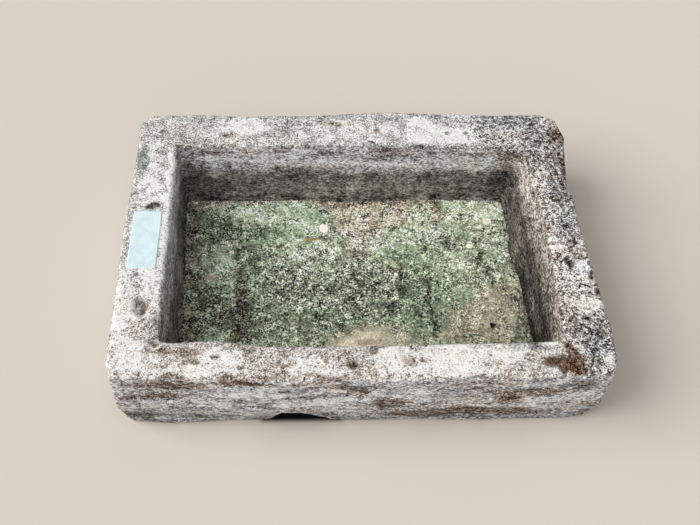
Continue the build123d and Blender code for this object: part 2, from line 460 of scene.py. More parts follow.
def stoneShape():   # moves the surface by waves, lumps, ledges, pits and chipped edges
    kit, given, result = startShape("stoneDressing", stoneSet["shape"])
    place = kit.scale(kit.node("GeometryNodeInputPosition").outputs[0], (1000, 1000, 1000))
    normal = kit.wire("GeometryNodeInputNormal")
    height = kit.parts(place)[2]
    facing = kit.math("ABSOLUTE", kit.parts(normal)[2])
    upright = kit.step(facing, 0.75, 0.25)

    blur = {"Iterations": stoneSet["edgeBlur"], "Value": normal}
    blurred = kit.node("GeometryNodeBlurAttribute", blur, data_type="FLOAT_VECTOR").outputs["Value"]
    length = kit.node("ShaderNodeVectorMath", {0: blurred}, operation="LENGTH").outputs["Value"]
    edge = kit.step(length, 0.985, 0.82)
    edge = edge * (kit.step(height, rimLevel - 42, rimLevel - 20) | kit.step(height, 26, 8))

    waves = kit.swell(place, 80, 1.5, 0.5)
    lumps = kit.swell(place, 15, 3.0, 0.6)
    ledges = kit.swell(kit.scale(place, (0.040, 0.040, 0.115)), 1.0, 3.0, 0.65)
    grain = kit.swell(place, 4.6, 2.0, 0.6)
    chips = kit.step(kit.noise(place, 22, 2.5, 0.6, 0.4), 0.54, 0.68)
    crumbs = kit.step(kit.noise(kit.shift(place, (310, 50, 90)), 8.0), 0.50, 0.66)

    away, seeds = kit.cells(place, 12.0)
    reach = seeds[0] * 0.22 + 0.10
    hollow = kit.step(away, reach, reach * 0.3)
    pits = hollow * kit.step(seeds[1] + kit.noise(place, 55, 1.0), 0.95, 1.02)

    depth = (
        waves * given["Undulation"] + lumps * given["Roughness"] + grain * given["Grain"] + pits * given["Pits"]
        + ledges * upright * given["Bedding"] + (1.0 - upright) * given["Top bias"]
    )
    depth = depth + edge * (chips + crumbs * 0.40) * given["Arris chips"]
    level = kit.step(facing, 0.55, 0.85)   # the base and the floor under the silt stay flat
    low = kit.step(height, siltHigh.z + 6, siltHigh.z + 1)
    depth = depth * (1.0 - level * low)

    inward = kit.wire("ShaderNodeVectorMath", {0: normal, "Scale": depth * -mm}, operation="SCALE")
    moved = kit.wire("GeometryNodeSetPosition", {"Geometry": given["Geometry"], "Offset": inward})
    kit.put(moved, result.inputs[0])
    return kit.tree


# Cracks as runs of points, on the rim in plan and on the front face as x and height
cracks = {
    "rim": [[(67, -200), (70, -213), (66, -222), (72, -233)]],
    "face": [
        [(-199, 47), (-185, 60), (-171, 68), (-143, 74), (-120, 73)],
        [(48, 74), (58, 78), (70, 85)],
        [(-330, 92), (-292, 84), (-262, 88)],
    ],
}
crackSet = {"depth": 2.4, "reach": 1.6}


def nearLine(across, along, line):   # distance from each point to a run of points
    best = np.full(len(across), 1e9)
    for (x0, y0), (x1, y1) in zip(line, line[1:]):
        dx, dy = x1 - x0, y1 - y0
        t = np.clip(((across - x0) * dx + (along - y0) * dy) / (dx * dx + dy * dy), 0, 1)
        best = np.minimum(best, np.hypot(across - x0 - t * dx, along - y0 - t * dy))
    return best


def crackMask(points, normals):
    waver = wander(points, 5.0, 2.8, 7)
    x, y, z = (points + waver).T
    top = (normals[:, 2] > 0.6) & (points[:, 2] > rimLevel - 12)
    front = (normals[:, 1] < -0.5) & (points[:, 1] < siltLow.y)
    found = np.zeros(len(points))
    for line in cracks["rim"]:
        found = np.maximum(found, top * np.exp(-(nearLine(x, y, line) / crackSet["reach"]) ** 2))
    for line in cracks["face"]:
        found = np.maximum(found, front * np.exp(-(nearLine(x, z, line) / crackSet["reach"]) ** 2))
    return found


def remesh(piece, merging=0.0):
    made = piece.modifiers.new("remesh", "REMESH")
    made.mode = "VOXEL"
    made.voxel_size = stoneSet["voxel"] * mm
    made.adaptivity = merging
    bakeModifiers(piece)


def shapeStone():
    piece = copyNode("stone_trough", "carvedStone")
    remesh(piece)
    print("stone remeshed", len(piece.data.polygons))
    setInputs(piece, stoneShape(), stoneSet["shape"])
    bakeModifiers(piece)
    remesh(piece, stoneSet["thin"])
    points, normals = readPoints(piece.data) / mm, readNormals(piece.data)
    points -= normals * (crackMask(points, normals) * crackSet["depth"])[:, None]
    clear = stoneSet["clearTop"]
    points = np.clip(points, np.array(stoneLow) + (clear, clear, 0), np.array(stoneHigh) - clear)
    writePoints(piece.data, points * mm)
    print("stone shaped", sum(len(p.vertices) - 2 for p in piece.data.polygons))
    return piece


# Where the finishes lie: plan patches are x, y, two radii and strength, face patches have height for y
stonePatches = {
    "crustPlan": [
        (-325, 60, 24, 190, 0.6), (-340, -140, 22, 90, 0.75), (-185, 222, 44, 22, 0.95), (-148, 218, 22, 14, 0.8),
        (0, 205, 110, 26, 0.55), (140, 203, 66, 24), (-322, -216, 30, 30, 0.85), (-198, -216, 34, 20, 0.95),
        (-80, -226, 50, 18, 0.55), (40, -218, 44, 22, 0.8), (125, -218, 66, 28), (200, -214, 34, 22, 0.9),
        (334, -137, 24, 9), (110, 232, 20, 14, 0.9), (-309, -75, 12, 44, 0.95), (-60, -241, 60, 8, 0.8),
        (110, -240, 110, 9, 0.95), (-230, -240, 70, 8, 0.9), (328, -134, 26, 15), (328, -72, 16, 20, 0.85),
        (-6, -204, 20, 8, 0.6), (-165, -232, 18, 9, 0.6), (315, 215, 10, 8, 0.95), (290, 122, 6, 8, 0.9),
        (303, 124, 6, 7, 0.9), (296, -29, 8, 9, 0.9), (348, -225, 16, 14, 0.6), (262, -196, 20, 8, 0.6),
        (318, 60, 10, 14, 0.45), (308, -90, 10, 22, 0.5), (-294, 0, 8, 160), (-294, 140, 8, 50, 0.8),
    ],
    "patinaPlan": [
        (326, 110, 26, 90), (322, 5, 22, 60, 0.7), (337, -96, 14, 20, 0.4), (290, 146, 18, 40, 0.85),
        (334, -190, 24, 26), (268, 238, 46, 18), (222, 228, 40, 20, 0.45), (305, 200, 34, 36), (79, 226, 12, 14, 0.6),
        (-255, 234, 50, 12, 0.45), (-110, 246, 40, 8, 0.4), (-341, 146, 10, 36), (318, -226, 14, 30),
        (22, -203, 22, 6, 0.9), (300, -176, 22, 20, 0.7), (225, -203, 44, 9, 0.95), (-190, -206, 16, 8, 0.8),
        (-10, 246, 50, 8, 0.5), (150, -206, 16, 5, 0.7), (300, -200, 16, 12, 0.4), (-140, -204, 40, 6, 0.4),
        (210, 206, 26, 20, 0.45), (290, 40, 12, 60, 0.45), (320, -157, 12, 8, 0.6),
    ],
    "earthPlan": [
        (334, 200, 18, 26), (339, 238, 9, 9, 0.8), (288, 13, 8, 9, 0.75), (297, -50, 12, 10), (331, -46, 9, 8, 0.85),
        (278, -150, 13, 26, 0.95), (270, -183, 16, 10), (330, 150, 14, 24, 0.6), (291, -84, 12, 16, 0.7),
        (300, -158, 12, 16, 0.55), (315, 66, 10, 14, 0.55), (318, -20, 8, 10, 0.6), (228, -219, 5, 4, 0.85),
        (299, -236, 9, 6, 0.9), (-250, -211, 24, 10), (-281, -211, 16, 7, 0.95), (-278, -251, 20, 5),
        (-246, -251, 18, 5, 0.9), (-178, -252, 24, 6), (-140, -251, 24, 5, 0.8), (-60, -251, 40, 5, 0.7),
        (-158, -206, 14, 5, 0.65), (-15, -233, 10, 9), (-52, -219, 6, 5, 0.8), (15, -210, 8, 5, 0.85),
        (-240, -228, 14, 8, 0.75), (-205, -240, 12, 4, 0.4), (-160, -238, 10, 5, 0.45), (60, -226, 10, 8, 0.55),
        (-312, 209, 8, 7, 0.9), (-212, 195, 14, 8, 0.9), (182, 207, 7, 6, 0.9), (150, 205, 6, 6, 0.8),
        (38, 211, 8, 7, 0.85), (-32, 229, 9, 7, 0.85), (-280, 216, 8, 5, 0.75), (-100, -236, 30, 5, 0.35),
        (-330, 226, 24, 12, 0.35), (-311, -133, 9, 15), (285, -143, 10, 30, 0.5), (-345, 150, 8, 30, 0.35),
        (110, 200, 18, 7, 0.35),
    ],
    "rustPlan": [
        (289, -206, 8, 10, 0.95), (291, -216, 11, 11), (294, -227, 14, 12), (293, -239, 13, 11), (267, -229, 17, 13),
        (273, -243, 9, 7), (281, -230, 10, 9, 0.85), (257, -224, 9, 5, 0.6),
    ],
    "emberPlan": [(288, -237, 11, 10), (-133, -241, 8, 7, 0.9)],
    # dark spots: painted shadow in pits and chips of the rim
    "pitShadowPlan": [
        (346, 208, 6, 14, 0.9), (223, -226, 5, 4, 0.9), (312, -60, 8, 7), (-211, -214, 4, 4, 0.95),
        (-202, -216, 4, 4, 0.9), (-170, -232, 5, 4, 0.9), (321, -157, 8, 5, 0.8), (322, 11, 7, 6, 0.8),
        (321, 53, 6, 6, 0.7), (329, -16, 7, 6, 0.7), (340, -82, 6, 8, 0.8), (344, -109, 5, 8, 0.8),
        (285, -143, 4, 6, 0.7), (258, -177, 5, 5, 0.6), (209, 226, 4, 3, 0.6), (243, 226, 4, 3, 0.6),
        (294, 226, 5, 4, 0.85), (79, 228, 4, 3, 0.55), (-316, 50, 11, 4), (-316, -122, 9, 9, 0.6),
        (-218, 196, 4, 4, 0.9), (-206, 200, 4, 3, 0.9), (-312, 210, 4, 4, 0.7), (38, 212, 4, 4, 0.8),
        (-58, 231, 5, 3, 0.6), (29, 186, 6, 4, 0.8), (-312, -135, 5, 12, 0.7), (338, -184, 12, 14, 0.45),
        (312, -196, 8, 10, 0.4), (300, 190, 6, 5, 0.7), (-294, -196, 10, 5, 0.6),
    ],
    "rustFace": [
        (-160, 139, 24, 7), (-186, 134, 14, 4, 0.9), (-262, 122, 18, 4, 0.75), (-232, 104, 16, 3, 0.7),
        (3, 112, 8, 6), (-6, 98, 6, 4, 0.8), (150, 113, 24, 4, 0.8), (182, 104, 18, 4, 0.85), (212, 94, 18, 4, 0.9),
        (160, 88, 12, 4, 0.7), (250, 100, 14, 3, 0.7), (286, 60, 20, 3, 0.65), (-240, 78, 16, 3, 0.7),
        (30, 92, 14, 3, 0.7), (148, 52, 12, 3, 0.7), (-70, 128, 20, 3, 0.6),
    ],
    "earthFace": [
        (-262, 128, 60, 14), (-285, 98, 44, 12, 0.85), (-165, 139, 44, 8), (-205, 112, 34, 6, 0.45),
        (-70, 139, 60, 6, 0.75), (150, 126, 70, 7, 0.6), (96, 44, 80, 24), (185, 42, 80, 18), (36, 80, 26, 20, 0.95),
        (207, 92, 26, 22, 0.95), (-245, 143, 20, 6, 0.95), (-178, 143, 24, 6), (-40, 141, 30, 5, 0.7),
        (225, 106, 66, 13, 0.85), (-20, 120, 40, 7, 0.7), (262, 38, 60, 6, 0.45), (-40, 30, 30, 10, 0.6),
        (300, 76, 30, 5, 0.6), (150, 126, 70, 5, 0.45), (20, 66, 30, 8, 0.4),
    ],
    "whiteFace": [
        (-160, 104, 60, 10, 0.55), (100, 114, 44, 8, 0.5), (-90, 84, 60, 14, 0.75), (283, 82, 60, 16, 0.6),
        (-20, 92, 50, 14, 0.65), (-230, 70, 60, 8, 0.4), (200, 84, 50, 9, 0.45), (-110, 112, 30, 8, 0.45),
        (310, 96, 30, 8, 0.5), (225, 88, 44, 6, 0.8), (-60, 112, 50, 7, 0.6),
    ],
    "blueFace": [
        (296, 118, 36, 16), (60, 92, 14, 5, 0.6), (-120, 60, 60, 8, 0.4), (-240, 60, 50, 10, 0.5),
        (-60, 100, 60, 12, 0.5), (120, 92, 50, 7, 0.5),
    ],
    "innerShade": [   # plan patches of painted shade, deeper low on the inner walls
        (-285, 185, 100, 44), (-150, 185, 70, 30, 0.75), (0, 185, 110, 30, 0.45), (150, 185, 80, 30, 0.6),
        (250, 180, 60, 40, 0.45), (285, 20, 20, 90, 0.3), (285, -150, 30, 50, 0.55),
    ],
    "coldPlan": [
        (321, 26, 16, 22), (324, -66, 18, 20), (298, -90, 10, 12, 0.8), (334, -195, 28, 38), (308, 92, 14, 16, 0.9),
        (250, 230, 60, 24), (304, 176, 14, 16, 0.7),
    ],
    "chalkWall": [   # on the back wall inside, x and height
        (228, 122, 30, 10, 0.8), (-60, 116, 90, 8, 0.55), (60, 112, 60, 7, 0.6), (-180, 124, 60, 7, 0.5),
        (120, 124, 34, 5, 0.6), (-120, 98, 40, 4, 0.45),
    ],
    "brownWall": [
        (60, 134, 44, 9), (170, 100, 60, 9, 0.8), (-150, 104, 44, 6, 0.6), (-40, 136, 34, 5, 0.6),
        (260, 132, 20, 9, 0.7), (20, 88, 50, 6, 0.6), (-230, 134, 30, 6, 0.6),
    ],
    "dampFace": [
        (-320, 40, 46, 26, 0.8), (-234, 30, 80, 16, 0.5), (-150, 22, 60, 12, 0.4), (150, 22, 110, 12, 0.35),
        (20, 12, 60, 10, 0.3),
    ],
}


paintSet = {
    "hollow": (60, 50, 58, 70),   # how far in the inner faces start, from the left, front, right and back
    "drainReach": 9,
    "notchHeight": 60,
    "rough": [(248, 215, 84, 44)],          # the coarse corner at the back right
    "near": [(276, -150, 26, 52, 0.6)],     # painted shade on the inner wall by the front right corner
    "lip": {"edge": 182, "start": 150, "middle": -8, "half": 282},   # darker inner edge of the back rim
}


def paintStone(piece):   # soft masks on the stone, for its material to read
    points, normals = readPoints(piece.data) / mm, readNormals(piece.data)
    drift = wander(points, 24.0, 8.0, 1) + wander(points, 7.0, 2.6, 2)
    x, y, z = (points + drift).T
    px, py, height = points.T
    top = ramp01(normals[:, 2], 0.35, 0.8) * ramp01(height, rimLevel - 26, rimLevel - 12)
    left, near, right, far = paintSet["hollow"]
    inside = (
        (px > stoneLow.x + left) & (px < stoneHigh.x - right)
        & (py > stoneLow.y + near) & (py < stoneHigh.y - far) & (height > siltLow.z - 1)
    )
    inner = inside * (1 - top)
    onRim = ramp01(height, rimLevel - 20, rimLevel - 6)
    front = ramp01(-normals[:, 1], 0.2, 0.7) * (1 - inner) * (1 - top)
    back = inner * ramp01(-normals[:, 1], 0.3, 0.7) * (py > 100)
    outer = (1 - inner) * (1 - top) * (1 - front)
    foot = rimLevel - height + drift[:, 2] * 1.5
    store = lambda name, values: storeMask(piece.data, name, values)
    plan = lambda name: patchMask(x, y, stonePatches[name]) * onRim * np.clip(top + 0.3, 0, 1)
    face = lambda name: patchMask(x, z, stonePatches[name]) * front

    store("rimTop", top)
    store("innerWall", inner)
    for name, onTop, onFace in (
        ("crust", "crustPlan", "whiteFace"), ("patina", "patinaPlan", "blueFace"),
        ("earth", "earthPlan", "earthFace"), ("rust", "rustPlan", "rustFace"),
    ):
        store(name, np.maximum(plan(onTop), face(onFace)))
    store("ember", plan("emberPlan"))

    drain = np.hypot(px - drainSpot[0], py - drainSpot[1])
    shade = stageSet["shade"]
    # painted shade on the stone's faces inside the break in the front edge
    notch = (height < paintSet["notchHeight"]) * (py < siltLow.y - 8) * (np.abs(px - shade["middle"]) < shade["half"])
    notch = notch * ramp01(-normals[:, 2], -0.2, 0.2) * (normals[:, 1] > -0.6)
    # the dark mask: painted shadow in pits, chips and cracks, in the drain hole and in the break in the front edge
    dark = np.maximum(plan("pitShadowPlan"), 0.9 * crackMask(points, normals))
    dark = np.maximum(np.maximum(dark, notch), (drain < paintSet["drainReach"]) * (height < siltLow.z + 1))
    store("dark", dark)
    store("damp", np.maximum(inner * ramp01(foot, 26, 66), face("dampFace")))
    # painted shade in the crease at the foot of the inner walls, together with wet slime
    store("wetAndShade", inner * ramp01(foot, 96, 103) * (1 - 0.7 * (px > 200) * ramp01(py, -20, 60)))
    store("coarse", top * np.maximum(ramp01(x, 262, 290), patchMask(x, y, paintSet["rough"])))
    store("pocked", top * ramp01(-y, 150, 190) * (1 - ramp01(x, 90, 130)))
    # painted shade over the right inner wall
    store("rightWallShade", inner * ramp01(px, stoneHigh.x - 140, stoneHigh.x - 110))
    plainBack = ramp01(y, 150, 180) * (1 - ramp01(x, 190, 240))
    plainLeft = (1 - ramp01(x, -296, -270)) * ramp01(y, -150, -80)
    store("plain", top * np.maximum(plainBack, plainLeft))
    cold = patchMask(x, y, stonePatches["coldPlan"])
    store("cold", top * cold)
    store("umber", top * ramp01(x, 262, 290) * (1 - ramp01(y, 150, 215)) * (1 - cold))
    store("chalk", back * patchMask(x, z, stonePatches["chalkWall"]))
    store("rubbed", back * patchMask(x, z, stonePatches["brownWall"]))
    # painted shade, deeper low on the inner walls, and on the inner wall by the front right corner
    innerShade = ramp01(foot, 28, 60) * patchMask(x, y, stonePatches["innerShade"])
    store("innerShade", inner * np.maximum(innerShade, ramp01(foot, 5, 18) * patchMask(x, y, paintSet["near"])))
    edge = paintSet["lip"]
    lip = ramp01(edge["edge"] - py + drift[:, 1] * 0.5, 0, 7) * (py > edge["start"])
    lip = lip * (np.abs(px - edge["middle"]) < edge["half"])
    store("lip", lip * (ramp01(height, rimLevel - 16, rimLevel - 8) * np.clip(top + 0.2, 0, 1)))
    store("weather", outer * ramp01(ripple(points, 95.0, 3, 15), -0.10, 0.45))
    # painted shade towards the foot of the outer faces
    store("base", (1 - inner) * (1 - top) * ramp01(rimLevel - height + drift[:, 0], 70, 138))


stoneTints = {   # dark and light end of each tone, and the two colours of the specks painted as shadow in small pits
    "open": ((1.07, 0.99, 0.93), (1.01, 1.0, 0.975)),
    "face": ((1.045, 0.99, 0.965), (0.98, 1.0, 1.035)),
    "blue": ((0.965, 0.995, 1.035), (0.98, 1.0, 1.01)),
    "plain": ((1.02, 1.0, 0.97), (1.0, 1.0, 0.985)),
    "earth": ((1.17, 0.97, 0.86), (1.05, 1.0, 0.94)),
    "rust": ((1.28, 0.96, 0.76), (1.08, 0.98, 0.90)),
    "ember": ((1.42, 0.92, 0.62), (1.20, 0.96, 0.78)),
    "damp": ((1.03, 1.0, 0.94), (1.02, 1.0, 0.96)),
    # tints of the painted shade on the right inner wall
    "rightWallShade": ((1.05, 0.985, 0.91), (1.04, 0.99, 0.935)),
    # tints of the wet slime and painted crease shade at the wall foot
    "slimeAndShade": ((1.02, 1.0, 0.90), (1.02, 1.0, 0.93)),
    "black": (1.0, 0.99, 0.99),
    "brown": (1.20, 0.97, 0.84),
}
stoneLight = 0.98   # how strongly the rim is lit, so that tones read as display levels


def stoneMaterial():
    look = Shader("weatheredStone")
    here, on = look.here, look.mask
    drawn = look.scale(here, (0.55, 0.55, 1.0))
    top, inner = on("rimTop"), on("innerWall")
    side = 1.0 - top
    shades = lambda level, name: look.tones(level, *stoneTints[name], stoneLight)

    # Open grain on the rim, slightly drawn out along the upright faces
    _, (speck, hue, _) = look.cells(here, 1.5)
    speck = speck - 0.5
    shard = look.grains(drawn, 1.5)
    fine, short = (look.swell(place, 3.2, 3.0, 0.68) for place in (here, drawn))
    clump = look.swell(here, 12, 3.0, 0.6)
    broad = look.swell(here, 50)
    streak = look.swell(look.scale(here, (0.20, 0.20, 1.0)), 8.0, 3.0, 0.62)
    bed = look.swell(look.scale(here, (0.12, 0.12, 1.0)), 15.0)
    blot = look.step(look.noise(look.shift(here, (20, 5, 70)), 7.0), 0.42, 0.55) - 0.5
    open = (speck * 0.72 + fine * 1.25) * (on("coarse") * 0.60 + 1.0) + (clump * 0.85 + broad * 0.50)
    open = open * (1.0 - on("crust") * 0.28) * (1.0 - on("patina") * 0.30)
    open = open + on("coarse") * (blot * 0.36 - 0.065)
    worked = shard * 0.60 + short * 1.22 + streak * 0.72 + clump * 0.75 + broad * 0.55 + bed * 0.50
    worked = worked * (1.0 - on("damp") * (inner * 0.36))
    value = (open * top + worked * side) + (top * 0.022 + 0.735)
    # painted shade on the inner walls and towards the foot of the outer faces; the lip darkens the inner edge of the
    # back rim
    value = value - on("lip") * 0.18 - (on("innerShade") * 0.20 + on("base") * 0.15)
    value = value + (on("chalk") * 0.11 - on("rubbed") * 0.07)

    edge = clump * 1.1 + fine * 0.9
    ragged = fine * 1.7 + speck * 0.35 + clump * 0.7
    crust = look.step(on("crust") + edge, 0.25, 0.75)
    patina = look.step(on("patina") + edge, 0.28, 0.72)
    earth = look.step(on("earth") + ragged, 0.42, 0.66)
    rust = look.step(on("rust") + ragged * 1.15, 0.42, 0.66)
    # painted shadow in pits, chips, cracks, the drain hole and the break in the front edge
    dark = look.step(on("dark") + (fine * 1.7 + speck * 0.4), 0.42, 0.62)
    damp = look.step(on("damp") + (streak * 0.4 + clump * 0.4), 0.10, 0.95)
    # painted shade in the crease at the foot of the inner walls, together with wet slime
    wetAndShade = look.step(on("wetAndShade") + (clump * 0.9 + fine * 0.8), 0.40, 0.80)
    value = value + crust * (1.0 - earth * 0.8) * 0.265 - patina * 0.22
    # painted shade over the right inner wall
    value = value - (on("rightWallShade") * 0.17 + on("weather") * 0.20) - damp * 0.145

    stray = look.step(hue, 0.74, 0.84) * 0.70   # single brown grains
    cast = look.step(look.noise(look.shift(drawn, (60, -20, 35)), 22, 3.0, 0.6), 0.52, 0.66)
    pock = look.step(look.noise(look.shift(here, (-40, 80, 10)), 7.5, 3.0, 0.6), 0.585, 0.64)
    pock = pock * top * (on("pocked") * 0.75 + 0.25)   # brown hollows of the rim
    worn = (stray | pock | cast * 0.65) * (1.0 - on("plain") * 0.6)
    browned = earth | worn | (on("umber") * 0.42 | on("rubbed") * 0.55 | on("weather") * 0.45)
    darker = earth * 0.31 + stray * 0.10 + cast * 0.05 + pock * 0.20
    bluish = patina * 0.8 | look.step(on("cold") + edge, 0.30, 0.80)
    soaked = value - 0.12
    fired = value * 0.52 + -0.13
    ember = rust * look.step(on("ember") + fine, 0.35, 0.75)

    colour = look.mix(on("plain"), shades(value, "open"), shades(value, "plain"))
    for amount, level, name in (
        (side, value, "face"), (bluish, value, "blue"), (on("rightWallShade") * 0.8, value, "rightWallShade"),
        (browned * 0.95, value - darker, "earth"),
    ):
        colour = look.mix(amount, colour, shades(level, name))
    soaked = look.mix(on("rightWallShade"), shades(soaked, "damp"), shades(soaked, "rightWallShade"))
    colour = look.mix(damp * (inner * 0.6 + 0.4), colour, soaked)
    burnt = ((wetAndShade, value - 0.26, "slimeAndShade"), (rust, fired, "rust"), (ember, fired - 0.05, "ember"))
    for amount, level, name in burnt:
        colour = look.mix(amount, colour, shades(level, name))

    # Specks dented as small pits, thickest where the patina lies; their dark colour, black or brown, is painted
    # shadow in the pits
    away, seed = look.cells(here, 5.2)
    ring = look.step(away, seed[0] * 0.22 + 0.16, 0.10)
    often = patina * 0.35 + (top * 0.12 + 0.06)
    pitShadowDots = ring * look.step(often - seed[1], -0.02, 0.04)
    black = tone(0.30, stoneTints["black"], stoneLight)
    brown = tone(0.33, stoneTints["brown"], stoneLight)
    colour = look.mix(pitShadowDots * 0.85, colour, look.mix(look.step(seed[2], 0.35, 0.45), black, brown))
    # the dark mask's painted shadow
    colour = look.mix(dark, colour, shades(value * 0.5 - 0.15, "open"))

    look.bump(fine + speck * 0.30 + short * side * 0.7 + pitShadowDots * -0.8, 1.3, 1.0)
    return look.finish(colour, 0.9, 0.22)


stone = shapeStone()
paintStone(stone)
dress(stone, stoneMaterial())
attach(stone, "root")
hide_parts("stone_trough")
stoneTree = castTree(stone.data)
print("stone finished")

# Shared by the pieces lying in the hollow

floorLevel = siltLow.z
siltLevel = siltHigh.z


def castFrom(point, way):   # how far the stone is from a point, in millimetres
    hit = stoneTree.ray_cast(Vector(point) * mm, Vector(way))
    return hit[3] / mm if hit[0] else None


def stoneTop(x, y, fallback):
    gap = castFrom((x, y, rimLevel + 40), (0, 0, -1))
    return fallback if gap is None else rimLevel + 40 - gap


# Dried silt with its skin of algae

siltSet = {
    "spacing": 2.1,
    "inset": 0.7,
    "middle": (-5.0, -10.0),
    "edge": 7.0,          # width over which it thins towards the walls
    "relief": 0.75,
    "crumbs": 0.45,
    "drainReach": 5.0,
    "probe": 0.2,         # height over its level at which the walls are felt for
    "ends": (2, 8),       # left out at the left and the right where the walls are rounded
    "least": 0.35,        # thickness along the walls
    "under": 0.05,        # clear of the stone under it
}


def shapeSilt():
    middleX, middleY = siltSet["middle"]
    inset, spacing, least = siltSet["inset"], siltSet["spacing"], siltSet["least"]
    walk = lambda x, y, *way: castFrom((x, y, siltLevel + siltSet["probe"]), (*way, 0))
    left = middleX - walk(middleX, middleY, -1, 0)
    right = middleX + walk(middleX, middleY, 1, 0)
    columns = int((right - left) / spacing)
    startX = np.linspace(left + siltSet["ends"][0], right - siltSet["ends"][1], columns)
    front = np.array([middleY - walk(x, middleY, 0, -1) for x in startX]) + inset
    back = np.array([middleY + walk(x, middleY, 0, 1) for x in startX]) - inset
    rows = int((back.max() - front.min()) / spacing)
    levels = np.linspace(front.min(), back.max(), 200)
    inner = np.clip(levels, front.min() + 3, back.max() - 3)
    leftAt = np.array([middleX - walk(middleX, y, -1, 0) for y in inner]) + inset
    rightAt = np.array([middleX + walk(middleX, y, 1, 0) for y in inner]) - inset
    u, v = np.meshgrid(np.linspace(0, 1, columns), np.linspace(0, 1, rows))
    y = front[None, :] * (1 - v) + back[None, :] * v
    x = np.interp(y, levels, leftAt) * (1 - u) + np.interp(y, levels, rightAt) * u
    gap = np.minimum(np.minimum(u, 1 - u) * (right - left), np.minimum(v, 1 - v) * (back - front)[None, :])
    flat = grid(x, y)
    lumps = ripple(flat, 16.0, 3, 3)
    crumbs = ripple(flat, 4.4, 2, 4)
    body = ramp01(gap.ravel() + lumps * 3, 0, siltSet["edge"])
    height = floorLevel + least + body * (siltLevel - floorLevel - least)
    height += body * (siltSet["relief"] * lumps * 0.6 + siltSet["crumbs"] * crumbs)
    top = np.column_stack([flat[:, :2], np.maximum(height, floorLevel + 0.15)])
    faces = gridFaces(columns, rows)

    drain, reach = np.array(drainSpot), siltSet["drainReach"]
    away = top[:, :2] - drain
    far = np.hypot(*away.T)
    ragged = reach * (1 + 0.22 * np.sin(3 * np.arctan2(away[:, 1], away[:, 0]) + 1.0))
    faces = faces[~(far[faces] < ragged[faces]).all(axis=1)]
    push = far < ragged
    top[push, :2] = drain + away[push] * (ragged / np.maximum(far, 0.1))[push, None]
    under = top.copy()
    under[:, 2] = floorLevel + siltSet["under"]
    return closeSheet("algaeSilt", top, under, faces)


# Each kind of growth or soil, and the painted shade: display level, green, brown, tan and speckle
siltKinds = {
    "plain": (0.52, 0.45, 0.0, 0.05, 0.50),
    "brown": (0.36, 0.10, 0.75, 0.0, 0.65),
    "soil": (0.42, 0.00, 1.0, 0.0, 0.60),
    "dusk": (0.23, 0.30, 0.50, 0.0, 0.50),
    "deep": (0.27, 1.0, 0.0, 0.0, 0.50),
    "green": (0.36, 1.0, 0.0, 0.0, 0.45),
    "fern": (0.50, 1.0, 0.0, 0.0, 0.40),
    "moss": (0.43, 1.0, 0.0, 0.0, 0.38),
    "aqua": (0.66, 0.85, 0.0, 0.0, 0.48),
    "mint": (0.67, 0.45, 0.0, 0.0, 0.56),
    "pale": (0.68, 0.34, 0.0, 0.0, 0.48),
    "pepper": (0.42, 0.50, 0.0, 0.0, 1.0),
    "shade": (0.26, 0.30, 0.25, 0.0, 0.75),
    "olive": (0.37, 0.75, 0.0, 0.25, 0.50),
    "tan": (0.53, 0.25, 0.0, 0.90, 0.24),
    "buff": (0.60, 0.0, 0.95, 0.1, 0.80),
    "sand": (0.66, 0.0, 0.0, 1.0, 0.15),
    "black": (0.14, 0.10, 0.35, 0.0, 0.30),
    "lichen": (0.90, 0.0, 0.0, 0.85, 0.10),
}

